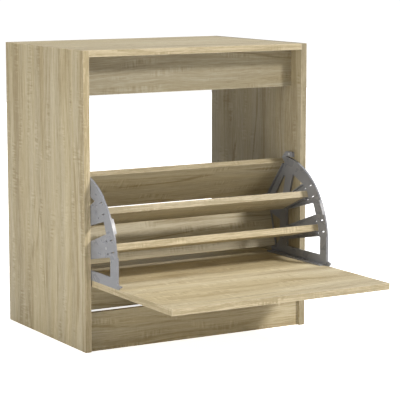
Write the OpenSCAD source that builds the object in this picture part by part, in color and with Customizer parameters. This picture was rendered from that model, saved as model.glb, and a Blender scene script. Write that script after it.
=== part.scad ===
// Shoe cabinet with one tilt-out compartment, drawn with the compartment open.
// Millimetres, +Z up. The front faces -Y. The origin is on the floor, in the middle of the
// space that the open cabinet takes up.

/* [Carcass] */
// Width over the side panels
cabinet_w = 600; // [500:10:800]
// Depth of the side panels
cabinet_d = 420; // [400:10:480]
// Height over all
cabinet_h = 690; // [680:5:760]
// Thickness of every board
board_t = 15; // [15:1:16]

/* [Rails and plinth] */
// Height of the front top rail, the plinth and the rear bottom rail
rail_h = 90; // [80:2:94]
// How far the front top rail stands back from the front
top_rail_setback = 44; // [40:1:60]
// How far the plinth stands back from the front
plinth_setback = 8; // [2:1:10]
// Gap between the floor and the rear bottom rail
rear_rail_lift = 3; // [2:1:8]

/* [Tilt-out front] */
// Gap between the front and each side panel
side_gap = 3; // [2:0.5:3]
// Gap above and below the closed front
reveal = 16.5; // [15:0.5:20]
// Distance of the pivot behind the face of the closed front
pivot_y = 68; // [66:0.5:70]
// Height of the pivot above the floor
pivot_z = 221; // [218:1:226]

/* [Brackets] */
// Thickness of a bracket's plate
plate_t = 4; // [3:0.5:4.5]
// Running gap between a plate and its side panel
plate_gap = 1; // [1:0.1:2]
// Radius of the rim around the pivot
rim_r = 191; // [190:0.5:193]
// Width of the foot flange on the front board
foot_w = 15; // [13:1:20]
// Thickness of the foot flange
foot_t = 3; // [2.5:0.5:4]
// Thickness of the seat ledges and stiffening ribs
rib_t = 2.5; // [2:0.5:2.5]

/* [Pivots] */
// Diameter of the pivot pins
pin_d = 8; // [6:0.5:9]
// Outer diameter of the hub bushes
bush_d = 12; // [11:0.5:13]
// Radial play of the pin in its bush
pin_play = 0.05; // [0.02:0.01:0.1]

/* [Hidden] */
$fn = 48;

oak = "#c9bb95";
grey_plastic = "#8b8d91";
steel = "#b9bcc0";
beech = "#d9b98a";
nylon = "#e6e6e0";

// Heights and places of the carcass boards
inner_w = cabinet_w - 2 * board_t;
top_under_z = cabinet_h - board_t;
top_rail_y = top_rail_setback + board_t / 2;
top_rail_z = top_under_z - rail_h;
plinth_y = plinth_setback + board_t / 2;
rear_rail_y = cabinet_d - board_t / 2;

// The front board: closed it stands flush, open it lies level
front_top = top_under_z - reveal;
front_bottom = rail_h + reveal;
front_w = inner_w - 2 * side_gap;
front_h = front_top - front_bottom;
front_free_y = pivot_y - (front_top - pivot_z);
front_inner_v = -(pivot_y - board_t);
mid_y = (cabinet_d + front_free_y) / 2;

// Bracket plates, as distances from the middle of the cabinet
plate_out_x = inner_w / 2 - plate_gap;
plate_in_x = plate_out_x - plate_t;
overlap = 0.5;
hub_wall = 6;
hub_t = plate_t + 4;
bush_flange_w = 2;
bush_flange_play = 0.3;

// The two ends of a bracket's foot flange, before and behind the pivot
foot_u = [-rim_r + 8, 50];

// The stop: the lug on the bracket and the fixed block just in front of it
stop_gap = 0.5;
stop_lug_u = -11.5;
stop_lug_v = 202;
stop_lug_l = 4;
stop_block_l = 29;
stop_block_u = [stop_lug_u - stop_gap - stop_block_l, stop_lug_u - stop_gap];
stop_block_v = [rim_r + 1, rim_r + 13];
stop_block_w = 7;
stop_block_chamfer = 2.5;

// The tab at the front of a bracket, which meets the block when the compartment is closed
foot_tab_v = stop_block_u[0] - stop_gap;
foot_tab_l = 12;
foot_tab_taper = 3.5;

// Boards of the compartment: middle of the upper or front edge from the pivot [y, z],
// downward slope towards the back, and width of the board
rear_upper = [[-0.3, 181.3], 50.2, 113];
div_upper = [[-107, 110.4], 23.3, 105];
div_lower = [[-153.3, 34.8], 14, 120];
rear_lower = [[67, 48], 106.5, 90];
BOARDS = [rear_upper, div_upper, div_lower, rear_lower];
board_w = 2 * plate_in_x;
board_screw_front = 12;
board_screw_rear = 20;

// Windows of a bracket plate, from the pivot [y, z]
spoke_front_u = -17;
spoke_rear_u = 14;
window_lower = [[-161.5, -30.5], [-161.5, 11], [-158, 13.5], [spoke_front_u - 2, -13.5],
    [spoke_front_u - 2, -30.5]];
window_middle = [[-143, 64], [-131, 91], [spoke_front_u, 60], [spoke_front_u, 20]];
window_top_front = [[-86.5, 131], [-41.5, 150], [-26, 98]];
window_top_rear = [[-8.5, 139], [-2.5, 145], [41, 88], [5, 84]];
window_rear = [[spoke_rear_u, -18], [spoke_rear_u, 32], [56.5, 43.5], [33, -37]];

// Clip slots beside the front edge of both dividers: [along, across, length]
SLOTS = [[-17.5, 15, 13], [6, 15, 7], [-17.5, -12.5, 13], [6, -13.5, 7]];
slot_h = 3;

// Thickened parts of the rim: [lowest, highest, width beyond the plate]
RIM_STEPS = [[front_inner_v, 17, 2], [69, 101, 4.5], [144, rim_r, 1.5]];
rim_step_t = 3;

// Screws
screw_d = 3.5;
screw_head_d = 7;
screw_head_t = 2;
screw_slot = [4, 0.8];
screw_slot_depth = 1.2;
screw_l = 16;
board_screw_l = 25;
FOOT_SCREWS_U = [-172, -100, -30, 32];

// Knock-down fittings
cam_d = 15;
cam_t = 12;
cam_depth = cam_t + 0.5;
cam_from_end = 24;
cam_slot = [8, 1.6];
cam_slot_depth = 2;
cam_from_edge = 60;
bolt_d = 6;
bolt_thread_d = 5;
bolt_in_side = 10;
bolt_bore_d = 7;
bolt_neck = 2;
bolt_neck_d = 3.5;
bolt_thread_play = 0.1;
dowel_d = 8;
dowel_in_side = 10;
dowel_in_rail = 20;
dowel_end_play = 0.5;
dowel_from_edge = 20;
dowel_from_cam = 50;
pin_in_side = 12;
pin_chamfer = 1;

// Cams of each board end: [y, z, direction that the cam's face looks in]
CAMS = [[cam_from_edge, top_under_z + board_t / 2, [0, 0, -1]],
    [cabinet_d - cam_from_edge, top_under_z + board_t / 2, [0, 0, -1]],
    [top_rail_y, top_rail_z + rail_h / 2, [0, 1, 0]],
    [plinth_y, rail_h / 2, [0, 1, 0]],
    [rear_rail_y, rear_rail_lift + rail_h / 2, [0, 1, 0]]];
// Dowels of each board end: [y, z]
DOWELS = [[cam_from_edge + dowel_from_cam, top_under_z + board_t / 2],
    [cabinet_d - cam_from_edge - dowel_from_cam, top_under_z + board_t / 2],
    for (rail = [[top_rail_y, top_rail_z], [plinth_y, 0], [rear_rail_y, rear_rail_lift]])
        each [[rail[0], rail[1] + dowel_from_edge],
            [rail[0], rail[1] + rail_h - dowel_from_edge]]];

// ---- helpers ----

// Moves a carcass drawn with its front at y = 0 into the part's own frame
module cabinet_frame() {
    translate([0, -mid_y, 0]) children();
}

module at_pivot() {
    cabinet_frame() translate([0, pivot_y, pivot_z]) children();
}

// Draws a piece of the left side (-1), or its mirror image on the right (1)
module on_side(side) {
    mirror([side > 0 ? 1 : 0, 0, 0]) children();
}

// Extrudes a [y, z] outline along X from x
module slab(x, t) {
    translate([x, 0, 0]) rotate([90, 0, 90]) linear_extrude(t) children();
}

// Cylinder along X from x
module rod(x, length, d) {
    translate([x, 0, 0]) rotate([0, 90, 0]) cylinder(h = length, d = d);
}

module on_board(board) {
    translate([0, board[0][0], board[0][1]]) rotate([-board[1], 0, 0]) children();
}

// A strip of the given thickness to the left of the line from a to b
function strip(a, b, t) =
    let (d = b - a, n = [-d[1], d[0]] * t / norm(d)) [a, b, b + n, a + n];

// Countersunk screw along +Z: the head's face at z = 0, the shank below it
module screw(length) {
    difference() {
        screw_room(length);
        for (turn = [0, 90])
            rotate([0, 0, turn])
                translate([-screw_slot[0] / 2, -screw_slot[1] / 2, -screw_slot_depth])
                    cube([screw_slot[0], screw_slot[1], 2 * screw_slot_depth]);
    }
}

// The room that a screw takes up in a plate and in the board behind it
module screw_room(length) {
    translate([0, 0, -length]) cylinder(h = length, d = screw_d);
    translate([0, 0, -screw_head_t])
        cylinder(h = screw_head_t, d1 = screw_d, d2 = screw_head_d);
}

// ---- knock-down fittings, drawn for the left board ends ----

module cam_axis(cam) {
    translate([-inner_w / 2 + cam_from_end, cam[0], cam[1]])
        rotate(cam[2][2] < 0 ? [180, 0, 0] : [-90, 0, 0])
            translate([0, 0, board_t / 2])
                children();
}

module bolt_axis(cam) {
    translate([-inner_w / 2, cam[0], cam[1]]) rotate([0, 90, 0]) children();
}

module cam_bolt() {
    shank = cam_from_end - 1 - 2 * bolt_neck;
    translate([0, 0, -bolt_in_side]) cylinder(h = bolt_in_side, d = bolt_thread_d - bolt_thread_play);
    cylinder(h = shank, d = bolt_d);
    translate([0, 0, shank]) cylinder(h = bolt_neck, d = bolt_neck_d);
    translate([0, 0, shank + bolt_neck]) cylinder(h = bolt_neck, d = bolt_d);
}

// Disc with its face at z = 0, hollow on the bolt's side, with a cross slot
module cam_lock() {
    difference() {
        translate([0, 0, -cam_t]) cylinder(h = cam_t, d = cam_d);
        translate([-cam_d, -bolt_bore_d / 2, -board_t / 2 - bolt_bore_d / 2])
            cube([cam_d + 3, bolt_bore_d, bolt_bore_d]);
        for (turn = [0, 90])
            rotate([0, 0, turn])
                translate([-cam_slot[0] / 2, -cam_slot[1] / 2, -cam_slot_depth])
                    cube([cam_slot[0], cam_slot[1], 2 * cam_slot_depth]);
    }
}

// Everything that is drilled into the end of a horizontal board
module end_bores() {
    for (cam = CAMS) {
        cam_axis(cam) translate([0, 0, -cam_depth]) cylinder(h = cam_depth + 1, d = cam_d);
        bolt_axis(cam) translate([0, 0, -1]) cylinder(h = cam_from_end, d = bolt_bore_d);
    }
    for (at = DOWELS)
        translate([0, at[0], at[1]]) rod(-inner_w / 2 - 1, dowel_in_rail + 1, dowel_d);
}

module both_ends() {
    for (side = [-1, 1])
        on_side(side) children();
}

// ---- carcass ----

module side_panel(side) {
    color(oak) cabinet_frame() on_side(side) difference() {
        translate([-cabinet_w / 2, 0, 0]) cube([board_t, cabinet_d, cabinet_h]);
        for (cam = CAMS)
            bolt_axis(cam)
                translate([0, 0, -bolt_in_side]) cylinder(h = bolt_in_side + 1, d = bolt_thread_d);
        for (at = DOWELS)
            translate([0, at[0], at[1]])
                rod(-inner_w / 2 - dowel_in_side, dowel_in_side + 1, dowel_d);
        translate([0, pivot_y, pivot_z]) rod(-inner_w / 2 - pin_in_side, pin_in_side + 1, pin_d);
        stop_screw_axis() screw_room(screw_l);
    }
}

module top_panel() {
    color(oak) cabinet_frame() difference() {
        translate([-inner_w / 2, 0, top_under_z]) cube([inner_w, cabinet_d, board_t]);
        both_ends() end_bores();
    }
}

// A board on edge between the side panels
module cross_board(y, z) {
    color(oak) cabinet_frame() difference() {
        translate([-inner_w / 2, y, z]) cube([inner_w, board_t, rail_h]);
        both_ends() end_bores();
    }
}

module front_top_rail() {
    cross_board(top_rail_setback, top_rail_z);
}

module plinth() {
    cross_board(plinth_setback, 0);
}

module rear_bottom_rail() {
    cross_board(cabinet_d - board_t, rear_rail_lift);
}

module cam_bolts() {
    color(steel) cabinet_frame() both_ends()
        for (cam = CAMS) bolt_axis(cam) cam_bolt();
}

module cam_locks() {
    color(steel) cabinet_frame() both_ends()
        for (cam = CAMS) cam_axis(cam) cam_lock();
}

module wood_dowels() {
    color(beech) cabinet_frame() both_ends()
        for (at = DOWELS)
            translate([0, at[0], at[1]])
                rod(-inner_w / 2 - dowel_in_side,
                    dowel_in_side + dowel_in_rail - dowel_end_play, dowel_d);
}

// ---- pivots and stops ----

module pivot_pin(side) {
    length = pin_in_side + plate_gap + hub_t;
    color(steel) at_pivot() on_side(side) {
        rod(-inner_w / 2 - pin_in_side, length - pin_chamfer, pin_d);
        translate([-inner_w / 2 - pin_in_side + length - pin_chamfer, 0, 0])
            rotate([0, 90, 0])
                cylinder(h = pin_chamfer, d1 = pin_d, d2 = pin_d - 2 * pin_chamfer);
    }
}

module hub_bush(side) {
    flange_t = plate_gap - bush_flange_play;
    color(nylon) at_pivot() on_side(side) difference() {
        union() {
            rod(-plate_out_x, hub_t, bush_d);
            rod(-plate_out_x - flange_t, flange_t, bush_d + 2 * bush_flange_w);
        }
        rod(-plate_out_x - 2, hub_t + 4, pin_d + 2 * pin_play);
    }
}

module stop_screw_axis() {
    translate([-inner_w / 2 + stop_block_w, pivot_y + (stop_block_u[0] + stop_block_u[1]) / 2,
        pivot_z + (stop_block_v[0] + stop_block_v[1]) / 2])
        rotate([0, 90, 0]) children();
}

module stop_block_part(side) {
    front = stop_block_u[0];
    rear = stop_block_u[1];
    foot = stop_block_v[0];
    head = stop_block_v[1];
    cut = stop_block_chamfer;
    color(grey_plastic) cabinet_frame() on_side(side) difference() {
        translate([0, pivot_y, pivot_z])
            slab(-inner_w / 2, stop_block_w)
                polygon([[front, foot], [rear, foot], [rear, head - cut],
                    [rear - cut, head], [front + cut, head], [front, head - cut]]);
        stop_screw_axis() screw_room(screw_l);
    }
}

module stop_block_screws() {
    color(steel) cabinet_frame() both_ends() stop_screw_axis() screw(screw_l);
}

// ---- tilt-out compartment ----

module foot_screw_axes() {
    for (u = FOOT_SCREWS_U)
        translate([-plate_in_x + foot_w / 2, u, front_inner_v + foot_t]) children();
}

module board_screw_axes() {
    for (board = BOARDS)
        for (along = [board_screw_front, board[2] - board_screw_rear])
            on_board(board)
                translate([-plate_out_x, along, 0]) rotate([0, -90, 0]) children();
}

module flip_front() {
    color(oak) at_pivot() difference() {
        translate([-front_w / 2, front_free_y - pivot_y, front_inner_v - board_t])
            cube([front_w, front_h, board_t]);
        both_ends() foot_screw_axes() screw_room(screw_l);
    }
}

module divider(board) {
    color(oak) at_pivot() difference() {
        on_board(board)
            translate([-board_w / 2, 0, -board_t / 2]) cube([board_w, board[2], board_t]);
        both_ends() board_screw_axes() screw_room(board_screw_l);
    }
}

// Outline of a bracket plate: a fan with its rim around the pivot
module bracket_outline() {
    intersection() {
        circle(r = rim_r, $fn = 180);
        translate([-rim_r - 1, -1]) square([rim_r + 1 + stop_lug_u, rim_r + 2]);
    }
    polygon([[-rim_r, 0], [-rim_r, front_inner_v], [foot_u[1], front_inner_v],
        [foot_u[1] + 2, -41], [76, 40], [81, 88], [79, 101], [7, 187.5], [stop_lug_u + stop_lug_l, stop_lug_v],
        [stop_lug_u, stop_lug_v], [stop_lug_u, 0]]);
    polygon([[-rim_r, foot_tab_v], [-rim_r - foot_tab_l, foot_tab_v - foot_tab_taper],
        [-rim_r - foot_tab_l, front_inner_v + foot_t], [-rim_r - foot_tab_l / 2, front_inner_v],
        [-rim_r, front_inner_v]]);
}

module bracket_windows() {
    for (window = [window_lower, window_middle, window_top_front, window_top_rear, window_rear])
        polygon(window);
    for (board = [div_upper, div_lower])
        translate(board[0]) rotate(-board[1])
            for (slot = SLOTS)
                translate([slot[0], slot[1]]) square([slot[2], slot_h], center = true);
}

// One thickened stretch of the rim, as a [y, z] outline
module rim_step(low, high) {
    intersection() {
        difference() {
            union() {
                circle(r = rim_r, $fn = 180);
                translate([-rim_r, -rim_r]) square([rim_r, rim_r]);
            }
            circle(r = rim_r - rim_step_t, $fn = 180);
            translate([-rim_r + rim_step_t, -rim_r]) square([rim_r, rim_r]);
        }
        translate([-rim_r, low]) square([rim_r + stop_lug_u, high - low]);
    }
}

// Stiffening ribs along the arms that carry the dividers: [from, to, height]
ARM_RIBS = [[window_lower[2], window_lower[3], 3.5],
    [window_middle[3], window_middle[0], 3.5],
    [window_middle[1], window_middle[2], 3.5],
    [window_top_front[2], window_top_front[0], 5]];
// Seat ledges under the boards: [board, height]
LEDGES = [[rear_upper, 6], [div_upper, 9], [div_lower, 9]];
ledge_margin = 4;

module bracket(side) {
    plate_x = -plate_in_x - overlap;
    color(grey_plastic) at_pivot() on_side(side) difference() {
        union() {
            slab(-plate_out_x, plate_t) difference() {
                bracket_outline();
                bracket_windows();
            }
            for (step = RIM_STEPS)
                slab(plate_x, step[2] + overlap) rim_step(step[0], step[1]);
            for (rib = ARM_RIBS)
                slab(plate_x, rib[2] + overlap) polygon(strip(rib[0], rib[1], rib_t));
            for (ledge = LEDGES)
                on_board(ledge[0])
                    translate([plate_x, ledge_margin, -board_t / 2 - rib_t])
                        cube([ledge[1] + overlap, ledge[0][2] - 2 * ledge_margin, rib_t]);
            translate([plate_x, foot_u[0], front_inner_v])
                cube([foot_w + overlap, foot_u[1] - foot_u[0], foot_t]);
            rod(-plate_out_x, hub_t, bush_d + 2 * hub_wall);
        }
        rod(-plate_out_x - 1, hub_t + 2, bush_d);
        foot_screw_axes() screw_room(screw_l);
        board_screw_axes() screw_room(board_screw_l);
    }
}

module front_screws(side) {
    color(steel) at_pivot() on_side(side) foot_screw_axes() screw(screw_l);
}

module board_screws(side) {
    color(steel) at_pivot() on_side(side) board_screw_axes() screw(board_screw_l);
}

side_panel(-1);  // side_panel_left
side_panel(1);  // side_panel_right
top_panel();
front_top_rail();
plinth();
rear_bottom_rail();
cam_bolts();
cam_locks();
wood_dowels();
pivot_pin(-1);  // pivot_pin_left
pivot_pin(1);  // pivot_pin_right
stop_block_part(-1);  // stop_block_left
stop_block_part(1);  // stop_block_right
stop_block_screws();
flip_front();
bracket(-1);  // bracket_left
bracket(1);  // bracket_right
hub_bush(-1);  // hub_bush_left
hub_bush(1);  // hub_bush_right
divider(rear_upper);  // rear_board_upper
divider(div_upper);  // divider_upper
divider(div_lower);  // divider_lower
divider(rear_lower);  // rear_board_lower
front_screws(-1);  // front_screws_left
front_screws(1);  // front_screws_right
board_screws(-1);  // board_screws_left
board_screws(1);  // board_screws_right
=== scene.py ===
"""Looks of the shoe cabinet: oak laminate boards, moulded grey brackets and zinc fittings.
The shapes are those of the CAD frame, with their sharp edges rounded. Lengths are in metres."""

import math

import bpy
from mathutils import Matrix, Vector


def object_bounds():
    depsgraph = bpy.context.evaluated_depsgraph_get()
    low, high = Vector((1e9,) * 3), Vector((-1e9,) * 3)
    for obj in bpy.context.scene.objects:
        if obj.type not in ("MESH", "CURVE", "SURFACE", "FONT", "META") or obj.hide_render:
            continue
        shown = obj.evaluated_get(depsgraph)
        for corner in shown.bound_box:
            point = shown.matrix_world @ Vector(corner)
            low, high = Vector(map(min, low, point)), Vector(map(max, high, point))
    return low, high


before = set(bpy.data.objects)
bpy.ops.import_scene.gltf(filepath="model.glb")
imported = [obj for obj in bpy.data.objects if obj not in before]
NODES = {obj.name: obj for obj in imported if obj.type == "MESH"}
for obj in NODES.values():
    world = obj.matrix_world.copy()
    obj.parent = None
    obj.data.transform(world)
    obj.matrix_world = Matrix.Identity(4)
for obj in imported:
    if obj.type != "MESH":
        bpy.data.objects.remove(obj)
CAD_LOW, CAD_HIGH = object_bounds()
MM = 0.001
X_AXIS = Vector((1, 0, 0))
Z_AXIS = Vector((0, 0, 1))

# Boards: node, direction of the grain, tone of the faces and tone of the banded edges.
# Besides each board's own tone, these tones hold painted light and shade. Each whole board is made
# lighter or darker to match how brightly it is lit where it stands. So side_panel_right, whose
# inner face is in shade, and the recessed front_top_rail are painted darker, and top_panel and
# flip_front paler.
# A board's number in this list decides which cut of the oak print it gets.
BOARDS = [
    ("side_panel_left", Z_AXIS, 0.88, 0.97),
    ("side_panel_right", Z_AXIS, 0.75, 0.60),
    ("top_panel", X_AXIS, 1.06, 0.92),
    ("front_top_rail", X_AXIS, 0.62, 0.86),
    ("plinth", X_AXIS, 0.93, 0.93),
    ("rear_bottom_rail", X_AXIS, 1.0, 1.0),
    ("flip_front", X_AXIS, 1.14, 0.90),
    ("rear_board_upper", X_AXIS, 0.91, 0.76),
    ("divider_upper", X_AXIS, 0.92, 0.76),
    ("divider_lower", X_AXIS, 1.0, 0.93),
    ("rear_board_lower", X_AXIS, 0.86, 1.0),
]
PLASTIC_PARTS = ["bracket_left", "bracket_right", "stop_block_left", "stop_block_right"]
NYLON_PARTS = ["hub_bush_left", "hub_bush_right"]
STEEL_PARTS = ["pivot_pin_left", "pivot_pin_right", "cam_bolts", "cam_locks", "stop_block_screws",
               "front_screws_left", "front_screws_right", "board_screws_left", "board_screws_right"]
BEECH_PARTS = ["wood_dowels"]


# ---- camera, light and floor ----

# The tilt is below the horizon, and it and the heading are in radians; the lens is in millimetres
CAMERA_PLACE = (-2.0087, -3.4492, 0.9138)
CAMERA_TILT = 0.1456
CAMERA_HEADING = -0.5311
CAMERA_LENS = 153.98

WHITE = (1.0, 1.0, 1.0)
PALE_WARM = (1.0, 0.96, 0.885)
WARM = (1.0, 0.95, 0.835)
LIGHT_DISTANCE = 3.0
FLOOR_HALF_WIDTH = 6.0


def colour(red, green, blue):
    return (red, green, blue, 1.0)


def add_camera():
    """Looks at the cabinet from the front left, a little above its middle."""
    data = bpy.data.cameras.new("camera")
    data.lens = CAMERA_LENS
    camera = bpy.data.objects.new("camera", data)
    camera.location = CAMERA_PLACE
    camera.rotation_euler = (math.pi / 2 - CAMERA_TILT, 0, CAMERA_HEADING)
    bpy.context.scene.collection.objects.link(camera)
    bpy.context.scene.camera = camera


def add_light(kind, name, towards_light, strength, tint, **settings):
    """A light that shines on the cabinet's middle from the given direction."""
    data = bpy.data.lights.new(name, kind)
    data.energy = strength
    data.color = tint
    for key, value in settings.items():
        setattr(data, key, value)
    light = bpy.data.objects.new(name, data)
    direction = Vector(towards_light).normalized()
    light.location = (CAD_LOW + CAD_HIGH) / 2 + direction * LIGHT_DISTANCE
    light.rotation_mode = "QUATERNION"
    light.rotation_quaternion = direction.to_track_quat("Z", "Y")
    bpy.context.scene.collection.objects.link(light)


def add_lights():
    """A warm key light from high on the front right, and softer light from the other sides."""
    add_light("SUN", "key_light", (0.613, -1.0, 0.895), 2.40, PALE_WARM, angle=math.radians(11))
    add_light("SUN", "top_light", (0.0, -0.15, 1.0), 1.20, WHITE, angle=math.radians(35))
    add_light("AREA", "left_light", (-1.0, -0.18, 0.15), 33.0, WARM, size=0.8)
    add_light("AREA", "front_light", (-0.1, -1.0, 0.20), 8.5, WARM, size=2.5)
    add_light("AREA", "back_light", (0.9, 1.0, 1.0), 10.0, WHITE, size=2.0)


def seen_as(tree, strength, lighting, looking):
    """Gives a surface one strength as a source of light and another as a plain backdrop."""
    path = tree.nodes.new("ShaderNodeLightPath")
    choice = tree.nodes.new("ShaderNodeMapRange")
    choice.inputs["To Min"].default_value = lighting
    choice.inputs["To Max"].default_value = looking
    tree.links.new(path.outputs["Is Camera Ray"], choice.inputs["Value"])
    tree.links.new(choice.outputs["Result"], strength)


def add_world():
    """White surroundings that look bright but give only a little light."""
    world = bpy.data.worlds.new("studio")
    bpy.context.scene.world = world
    world.use_nodes = True
    background = world.node_tree.nodes["Background"]
    background.inputs["Color"].default_value = colour(*WHITE)
    seen_as(world.node_tree, background.inputs["Strength"], lighting=0.06, looking=1.05)


def add_floor():
    """A matt white floor that glows, so that only a faint shadow shows on it."""
    half = FLOOR_HALF_WIDTH
    mesh = bpy.data.meshes.new("floor")
    corners = [(-half, -half, 0), (half, -half, 0), (half, half, 0), (-half, half, 0)]
    mesh.from_pydata(corners, [], [(0, 1, 2, 3)])
    floor = bpy.data.objects.new("floor", mesh)
    bpy.context.scene.collection.objects.link(floor)
    material = bpy.data.materials.new("studio_floor")
    material.use_nodes = True
    shader = material.node_tree.nodes["Principled BSDF"]
    shader.inputs["Base Color"].default_value = colour(0.9, 0.9, 0.9)
    shader.inputs["Roughness"].default_value = 0.9
    shader.inputs["Specular IOR Level"].default_value = 0.0
    shader.inputs["Emission Color"].default_value = colour(*WHITE)
    seen_as(material.node_tree, shader.inputs["Emission Strength"], lighting=0.08, looking=0.80)
    mesh.materials.append(material)


# ---- shader building ----

class Graph:
    """Short names for making and joining the shader nodes of one material."""

    def __init__(self, name):
        self.material = bpy.data.materials.new(name)
        self.material.use_nodes = True
        self.tree = self.material.node_tree
        self.shader = self.tree.nodes["Principled BSDF"]

    def set(self, socket, value):
        if isinstance(value, bpy.types.NodeSocket):
            self.tree.links.new(value, socket)
        else:
            socket.default_value = value

    def node(self, kind, inputs, output, **settings):
        made = self.tree.nodes.new(kind)
        for key, value in settings.items():
            setattr(made, key, value)
        for key, value in inputs.items():
            self.set(made.inputs[key], value)
        return made.outputs[output]

    def coordinate(self, name):
        return self.node("ShaderNodeTexCoord", {}, name)

    def split(self, vector):
        """The three parts of a vector."""
        return self.node("ShaderNodeSeparateXYZ", {"Vector": vector}, 0).node.outputs

    def joined(self, x=0.0, y=0.0, z=0.0):
        return self.node("ShaderNodeCombineXYZ", {"X": x, "Y": y, "Z": z}, 0)

    def math(self, operation, a, b=0.0):
        return self.node("ShaderNodeMath", {0: a, 1: b}, 0, operation=operation)

    def vector_math(self, operation, a, b):
        return self.node("ShaderNodeVectorMath", {0: a, 1: b}, 0, operation=operation)

    def mapped(self, vector, scale=(1, 1, 1), rotation=(0, 0, 0), location=(0, 0, 0)):
        inputs = {"Vector": vector, "Scale": scale, "Rotation": rotation, "Location": location}
        return self.node("ShaderNodeMapping", inputs, 0)

    def noise(self, vector, scale, detail, roughness, distortion=0.0):
        """Noise of about 0 to 1 whose features measure 1/scale metres along each axis."""
        inputs = {"Vector": self.mapped(vector, scale), "Scale": 1.0, "Detail": detail,
                  "Roughness": roughness, "Distortion": distortion}
        return self.node("ShaderNodeTexNoise", inputs, 0)

    def ramp(self, value, low, high, to_low=0.0, to_high=1.0):
        """Leads smoothly from to_low, where the value is low, to to_high, where it is high."""
        inputs = {"Value": value, "From Min": low, "From Max": high,
                  "To Min": to_low, "To Max": to_high}
        return self.node("ShaderNodeMapRange", inputs, 0, interpolation_type="SMOOTHSTEP")

    def mix(self, factor, a, b):
        return self.node("ShaderNodeMix", {0: factor, 6: a, 7: b}, 2, data_type="RGBA")

    def mix_vectors(self, factor, a, b):
        return self.node("ShaderNodeMix", {0: factor, 4: a, 5: b}, 1, data_type="VECTOR")

    def finish(self, tint, roughness, relief, strength, depth):
        """Gives the material its colour, roughness and relief."""
        self.set(self.shader.inputs["Base Color"], tint)
        self.set(self.shader.inputs["Roughness"], roughness)
        inputs = {"Height": relief, "Strength": strength, "Distance": depth}
        self.set(self.shader.inputs["Normal"], self.node("ShaderNodeBump", inputs, 0))
        return self.material


# ---- oak laminate ----

# Noises: features per metre along the grain, across it and through the board,
# then the number of finer layers and their strength
WAVE = ((2.2, 9.0, 9.0), 1.0, 0.5)
BROAD = ((0.7, 24.0, 24.0), 1.0, 0.45)
BANDS = ((2.2, 80.0, 80.0), 3.0, 0.6)
STREAKS = ((9.0, 340.0, 340.0), 3.0, 0.7)
FIBRES = ((45.0, 1100.0, 1100.0), 3.0, 0.65)
GROWTH = ((0.6, 8.5, 8.5), 1.0, 0.5)
RING_PATCHES = ((1.6, 9.0, 9.0), 1.0, 0.5)
VEIN = ((0.9, 19.0, 19.0), 2.0, 0.45)
VEIN_PATCHES = ((3.5, 14.0, 14.0), 1.0, 0.5)
SAW = ((205.0, 30.0, 30.0), 1.0, 0.4)
SAW_PATCHES = ((13.0, 44.0, 44.0), 0.0, 0.5)
HUE = ((1.3, 30.0, 30.0), 1.0, 0.5)
RUB = ((60.0, 60.0, 60.0), 3.0, 0.5)

# Ramps: where each one starts and ends, then the values it gives there if they are not 0 and 1
FACING = (0.5, 0.8)
RING_LINES = (0.2, 0.95, 0.0, -1.0)
RING_ROOM = (0.42, 0.60)
VEIN_LINES = (0.0, 0.022, -1.0, 0.0)
VEIN_ROOM = (0.42, 0.58)
SAW_ROOM = (0.58, 0.72, 0.08, 1.0)
DARK_TO_MIDDLE = (0.10, 0.52)
MIDDLE_TO_PALE = (0.48, 0.90)
YELLOW_TO_GREY = (0.35, 0.65)
BAND_DARK_TO_PALE = (0.20, 0.78)
RUB_REACH = (0.35, 0.75, 0.2 * MM, 1.5 * MM)
OAK_ROUGHNESS = (0.2, 0.8, 0.62, 0.42)

# How far the waviness shifts the fibres, how closely the rings follow each other,
# and how far each seed moves the print
SWAY = 0.050
RING_PHASE = 75.0
SEED_SHIFT = (1.7, 0.37, 0.23)

# Share of each pattern in the tone of the wood
BROAD_SHARE = 0.85
BANDS_SHARE = 0.24
STREAKS_SHARE = 1.35
FIBRES_SHARE = 1.10
RINGS_SHARE = 0.20
VEINS_SHARE = 0.46
SAW_SHARE = 1.15

# Share of each pattern in the relief of the wood, and the relief's strength and depth
SAW_RELIEF = 0.7
FIBRES_RELIEF = 0.6
STREAKS_RELIEF = 0.5
OAK_BUMP = (0.35, 0.25 * MM)

OAK_DARK = colour(0.398, 0.322, 0.196)
OAK_MIDDLE = colour(0.545, 0.473, 0.321)
OAK_PALE = colour(0.665, 0.599, 0.443)
YELLOW_CAST = colour(1.01, 1.00, 0.96)
GREY_CAST = colour(0.99, 1.00, 1.03)
BAND_DARK = colour(0.435, 0.360, 0.219)
BAND_PALE = colour(0.680, 0.587, 0.410)
BAND_ON_END = colour(0.420, 0.349, 0.215)
END_SHARE = 0.25
RUBBED = colour(0.720, 0.639, 0.492)
RUBBED_SHARE = 0.45


def board_axes(node, grain):
    """The grain's direction, the direction across it and the thickness direction of a board."""
    area = {}
    for face in node.data.polygons:
        if abs(face.normal.dot(grain)) < 0.01:
            key = tuple(round(abs(c), 2) for c in face.normal)
            total, normal = area.get(key, (0.0, face.normal.copy()))
            area[key] = (total + face.area, normal)
    thickness = max(area.values(), key=lambda entry: entry[0])[1]
    return Matrix((grain, thickness.cross(grain), thickness))


def board_space(graph, node, axes):
    """Place and normal turned so that x runs along the grain and z through the board,
    and half the size of the board along each of these axes."""
    turned = [axes @ v.co for v in node.data.vertices]
    low = Vector(min(p[i] for p in turned) for i in range(3))
    high = Vector(max(p[i] for p in turned) for i in range(3))
    turn = axes.to_euler()
    place = graph.mapped(graph.coordinate("Object"), rotation=turn, location=-(low + high) / 2)
    normal = graph.mapped(graph.coordinate("Normal"), rotation=turn)
    return place, normal, (high - low) / 2


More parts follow.
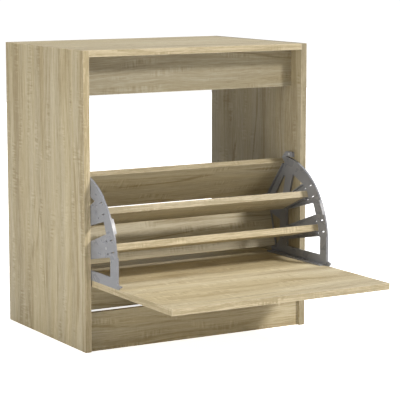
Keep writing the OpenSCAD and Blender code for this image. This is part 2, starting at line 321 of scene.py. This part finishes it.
def edge_distance(graph, place, half):
    """Distance of a surface point from the nearest edge of its board. This is the middle one of
    its distances from the three pairs of sides, as the least is to the side that it lies on."""
    parts = graph.split(place)
    gaps = []
    for i in range(3):
        gaps.append(graph.math("SUBTRACT", half[i], graph.math("ABSOLUTE", parts[i])))
    a, b, c = gaps
    lesser = graph.math("MINIMUM", a, b)
    greater = graph.math("MAXIMUM", a, b)
    return graph.math("MAXIMUM", lesser, graph.math("MINIMUM", greater, c))


def print_place(graph, place, on_end, seed):
    """Place in the oak print. The band on an end runs across the board, so its grain does too."""
    parts = graph.split(place)
    across = graph.joined(parts[1], parts[0], parts[2])
    cut = graph.mix_vectors(on_end, place, across)
    return graph.mapped(cut, location=tuple(shift * seed for shift in SEED_SHIFT))


def along_fibres(graph, cut):
    """Place in the print, shifted across the grain by the slow waviness of the fibres."""
    wave = graph.math("SUBTRACT", graph.noise(cut, *WAVE), 0.5)
    return graph.vector_math("ADD", cut, graph.joined(y=graph.math("MULTIPLY", wave, SWAY)))


def ring_lines(graph, cut, grainy):
    """Growth rings, dark along many level lines of a slow noise, and where they show."""
    growth = graph.math("MULTIPLY", graph.noise(grainy, *GROWTH), RING_PHASE)
    rings = graph.ramp(graph.math("SINE", growth), *RING_LINES)
    return rings, graph.ramp(graph.noise(cut, *RING_PATCHES), *RING_ROOM)


def vein_lines(graph, cut, grainy):
    """Fine veins, dark along one level line of a slow noise, and where they show."""
    off_vein = graph.math("ABSOLUTE", graph.math("SUBTRACT", graph.noise(grainy, *VEIN), 0.5))
    veins = graph.ramp(off_vein, *VEIN_LINES)
    return veins, graph.ramp(graph.noise(cut, *VEIN_PATCHES), *VEIN_ROOM)


def saw_marks(graph, cut):
    """Short marks across the grain, and how strongly they show."""
    return graph.noise(cut, *SAW), graph.ramp(graph.noise(cut, *SAW_PATCHES), *SAW_ROOM)


def wood_tone(graph, patterns):
    """Sums the patterns about a middle of 0.5. Each of them has its own middle and its share,
    and some also have a room: how strongly they show from place to place."""
    value = 0.5
    for pattern, pattern_middle, share, room in patterns:
        part = graph.math("MULTIPLY", graph.math("SUBTRACT", pattern, pattern_middle), share)
        if room is not None:
            part = graph.math("MULTIPLY", part, room)
        value = graph.math("ADD", part, value)
    return value


def face_colour(graph, value, grainy, tone_and_painted_light):
    """Colour of the faces: greyer along some stretches of the wood, more yellow along others."""
    wood = graph.mix(graph.ramp(value, *DARK_TO_MIDDLE), OAK_DARK, OAK_MIDDLE)
    wood = graph.mix(graph.ramp(value, *MIDDLE_TO_PALE), wood, OAK_PALE)
    hue = graph.ramp(graph.noise(grainy, *HUE), *YELLOW_TO_GREY)
    wood = graph.vector_math("MULTIPLY", wood, graph.mix(hue, YELLOW_CAST, GREY_CAST))
    # tone scales the whole face colour. Beyond the board's own tone, this paints the board's light
    # or shade into it.
    return graph.vector_math("MULTIPLY", wood, (tone_and_painted_light,) * 3)


def band_colour(graph, value, on_end, edge_tone_and_painted_light):
    """Colour of the banded edges: warmer than the faces, and browner on the board's ends."""
    band = graph.mix(graph.ramp(value, *BAND_DARK_TO_PALE), BAND_DARK, BAND_PALE)
    band = graph.mix(graph.math("MULTIPLY", on_end, END_SHARE), band, BAND_ON_END)
    # edge_tone_and_painted_light scales the band colour. Beyond the band's own tone, this paints
    # the edges' light or shade into it.
    return graph.vector_math("MULTIPLY", band, (edge_tone_and_painted_light,) * 3)


def rubbed_edges(graph, wood, cut, distance):
    """The colour with the corners and edges rubbed pale here and there."""
    reach = graph.ramp(graph.noise(cut, *RUB), *RUB_REACH)
    rubbed = graph.math("MULTIPLY", graph.math("LESS_THAN", distance, reach), RUBBED_SHARE)
    return graph.mix(rubbed, wood, RUBBED)


def oak_material(name, node, grain, seed, tone_and_painted_light, edge_tone_and_painted_light):
    """Sonoma oak laminate: streaks, rings and saw marks, with banded edges.
    The seed moves the cut of the pattern, and tone and edge_tone_and_painted_light scale the
    colour. Besides the board's own tone, these scales paint light and shade into it: they make the
    whole board lighter or darker to match how brightly it is lit."""
    graph = Graph("oak_laminate_" + name)
    place, normal, half = board_space(graph, node, board_axes(node, grain))
    facing = graph.split(normal)
    on_face = graph.ramp(graph.math("ABSOLUTE", facing[2]), *FACING)
    on_end = graph.ramp(graph.math("ABSOLUTE", facing[0]), *FACING)

    cut = print_place(graph, place, on_end, seed)
    grainy = along_fibres(graph, cut)
    streaks = graph.noise(grainy, *STREAKS)
    fibres = graph.noise(grainy, *FIBRES)
    rings, ring_room = ring_lines(graph, cut, grainy)
    veins, vein_room = vein_lines(graph, cut, grainy)
    saw, saw_room = saw_marks(graph, cut)

    value = wood_tone(graph, [
        (graph.noise(grainy, *BROAD), 0.5, BROAD_SHARE, None),
        (graph.noise(grainy, *BANDS), 0.5, BANDS_SHARE, None),
        (streaks, 0.5, STREAKS_SHARE, None),
        (fibres, 0.5, FIBRES_SHARE, None),
        (rings, 0.0, RINGS_SHARE, ring_room),
        (veins, 0.0, VEINS_SHARE, vein_room),
        (saw, 0.5, SAW_SHARE, saw_room)])
    wood = face_colour(graph, value, grainy, tone_and_painted_light)
    wood = graph.mix(on_face, band_colour(graph, value, on_end, edge_tone_and_painted_light), wood)
    wood = rubbed_edges(graph, wood, cut, edge_distance(graph, place, half))

    relief = graph.math("MULTIPLY", graph.math("MULTIPLY", saw, saw_room), SAW_RELIEF)
    relief = graph.math("ADD", relief, graph.math("MULTIPLY", fibres, FIBRES_RELIEF))
    relief = graph.math("ADD", relief, graph.math("MULTIPLY", streaks, STREAKS_RELIEF))
    graph.shader.inputs["Specular IOR Level"].default_value = 0.35
    return graph.finish(wood, graph.ramp(fibres, *OAK_ROUGHNESS), relief, *OAK_BUMP)


# ---- plastic, metal and solid wood ----

# Noises: features per metre along x, y and z, the number of finer layers and their strength,
# and for the flow marks how much they are distorted
SPARK = ((1800.0,) * 3, 2.0, 0.5)
FLOW = ((22.0, 22.0, 40.0), 3.0, 0.6, 0.6)
SCUFFS = ((700.0, 60.0, 60.0), 3.0, 0.6)
SPANGLE = ((900.0,) * 3, 3.0, 0.7)
DULLING = ((160.0,) * 3, 3.0, 0.5)
BEECH_RAYS = ((260.0, 1500.0, 1500.0), 2.0, 0.5)
BEECH_GRAIN = ((40.0, 700.0, 700.0), 3.0, 0.6)

# Ramps, as for the oak
DARK_TO_PALE = (0.3, 0.7)
SCUFFED = (0.62, 0.80)
ZINC_ROUGHNESS = (0.3, 0.7, 0.28, 0.46)
BEECH_FLECKS = (0.60, 0.72, 0.0, 0.5)
BEECH_ROUGHNESS = (0.2, 0.8, 0.72, 0.58)

# Strength and depth of the relief
PLASTIC_BUMP = (0.25, 0.12 * MM)
ZINC_BUMP = (0.15, 0.1 * MM)
BEECH_BUMP = (0.4, 0.15 * MM)

# Shares of the two noises in the shade of a plastic, and its darkest and palest shade,
# then the shade of the scuffs and their share
FLOW_SHARE = 0.7
SPARK_SHARE = 0.3
DARKER = 0.94
PALER = 1.05
SCUFF_SHADE = 1.5
SCUFF_SHARE = 0.09

GREY_PLASTIC = (0.260, 0.271, 0.309)
WHITE_NYLON = (0.74, 0.74, 0.71)
ZINC_DARK = colour(0.50, 0.51, 0.53)
ZINC_PALE = colour(0.74, 0.75, 0.77)
BEECH_DARK = colour(0.56, 0.36, 0.22)
BEECH_PALE = colour(0.72, 0.52, 0.34)
BEECH_FLECK = colour(0.36, 0.20, 0.11)


def moulded_material(name, base, roughness):
    """Moulded plastic with a fine spark texture, faint flow marks and scuffs."""
    graph = Graph(name)
    place = graph.coordinate("Object")
    spark = graph.noise(place, *SPARK)
    flow = graph.noise(place, *FLOW)
    shade = graph.math("ADD", graph.math("MULTIPLY", flow, FLOW_SHARE),
                       graph.math("MULTIPLY", spark, SPARK_SHARE))
    dark, pale, worn = [colour(*(c * factor for c in base))
                        for factor in (DARKER, PALER, SCUFF_SHADE)]
    tint = graph.mix(graph.ramp(shade, *DARK_TO_PALE), dark, pale)
    scuffs = graph.ramp(graph.noise(place, *SCUFFS), *SCUFFED)
    tint = graph.mix(graph.math("MULTIPLY", scuffs, SCUFF_SHARE), tint, worn)
    gloss = graph.ramp(flow, 0.25, 0.75, roughness - 0.07, roughness + 0.08)
    graph.shader.inputs["Specular IOR Level"].default_value = 0.45
    return graph.finish(tint, gloss, spark, *PLASTIC_BUMP)


def zinc_material():
    """Zinc-plated steel: small spangle, slightly dulled here and there."""
    graph = Graph("zinc_steel")
    place = graph.coordinate("Object")
    spangle = graph.noise(place, *SPANGLE)
    dulling = graph.noise(place, *DULLING)
    tint = graph.mix(graph.ramp(spangle, *DARK_TO_PALE), ZINC_DARK, ZINC_PALE)
    graph.shader.inputs["Metallic"].default_value = 1.0
    return graph.finish(tint, graph.ramp(dulling, *ZINC_ROUGHNESS), spangle, *ZINC_BUMP)


def beech_material():
    """Solid beech dowels: pale pink-brown with short dark flecks along the rod."""
    graph = Graph("beech")
    place = graph.coordinate("Object")
    rays = graph.noise(place, *BEECH_RAYS)
    grain = graph.noise(place, *BEECH_GRAIN)
    tint = graph.mix(graph.ramp(grain, *DARK_TO_PALE), BEECH_DARK, BEECH_PALE)
    tint = graph.mix(graph.ramp(rays, *BEECH_FLECKS), tint, BEECH_FLECK)
    return graph.finish(tint, graph.ramp(grain, *BEECH_ROUGHNESS), grain, *BEECH_BUMP)


# ---- finishing the CAD nodes ----

# Width of the rounded edges
BOARD_EDGE = 0.5 * MM
MOULDED_EDGE = 0.4 * MM
NYLON_EDGE = 0.25 * MM
STEEL_EDGE = 0.12 * MM
DOWEL_EDGE = 0.4 * MM

# Points nearer than this are joined, faces that turn less than this become one face,
# and edges that turn more than this are rounded
WELD_REACH = 0.002 * MM
FLAT_WITHIN = math.radians(0.5)
SHARP_BEYOND = math.radians(35)


def finish_node(name, material, edge_width, segments=2):
    """Gives a node its material, joins its faces and rounds its sharp edges."""
    node = NODES[name]
    node.data.materials.clear()
    node.data.materials.append(material)
    normals = node.data.attributes.get("custom_normal")
    if normals:
        node.data.attributes.remove(normals)
    weld = node.modifiers.new("weld", "WELD")
    weld.merge_threshold = WELD_REACH
    flat = node.modifiers.new("flat_faces", "DECIMATE")
    flat.decimate_type = "DISSOLVE"
    flat.angle_limit = FLAT_WITHIN
    bevel = node.modifiers.new("rounded_edges", "BEVEL")
    bevel.limit_method = "ANGLE"
    bevel.angle_limit = SHARP_BEYOND
    bevel.width = edge_width
    bevel.segments = segments
    bevel.use_clamp_overlap = True
    shading = node.modifiers.new("shading", "WEIGHTED_NORMAL")
    shading.keep_sharp = False


def finish_boards():
    # Each board's tones, which hold its painted light and shade, go into its own material.
    for seed, (name, grain, tone_and_painted_light, edge_tone_and_painted_light) in enumerate(BOARDS, start=1):
        material = oak_material(name, NODES[name], grain, seed, tone_and_painted_light, edge_tone_and_painted_light)
        finish_node(name, material, BOARD_EDGE)


def finish_fittings():
    plastic = moulded_material("grey_plastic", GREY_PLASTIC, 0.31)
    nylon = moulded_material("nylon", WHITE_NYLON, 0.35)
    zinc = zinc_material()
    beech = beech_material()
    for name in PLASTIC_PARTS:
        finish_node(name, plastic, MOULDED_EDGE)
    for name in NYLON_PARTS:
        finish_node(name, nylon, NYLON_EDGE)
    for name in STEEL_PARTS:
        finish_node(name, zinc, STEEL_EDGE, segments=1)
    for name in BEECH_PARTS:
        finish_node(name, beech, DOWEL_EDGE)


# ---- the scene ----

bpy.context.scene.view_settings.view_transform = "Standard"
add_camera()
add_world()
add_floor()
add_lights()
finish_boards()
finish_fittings()
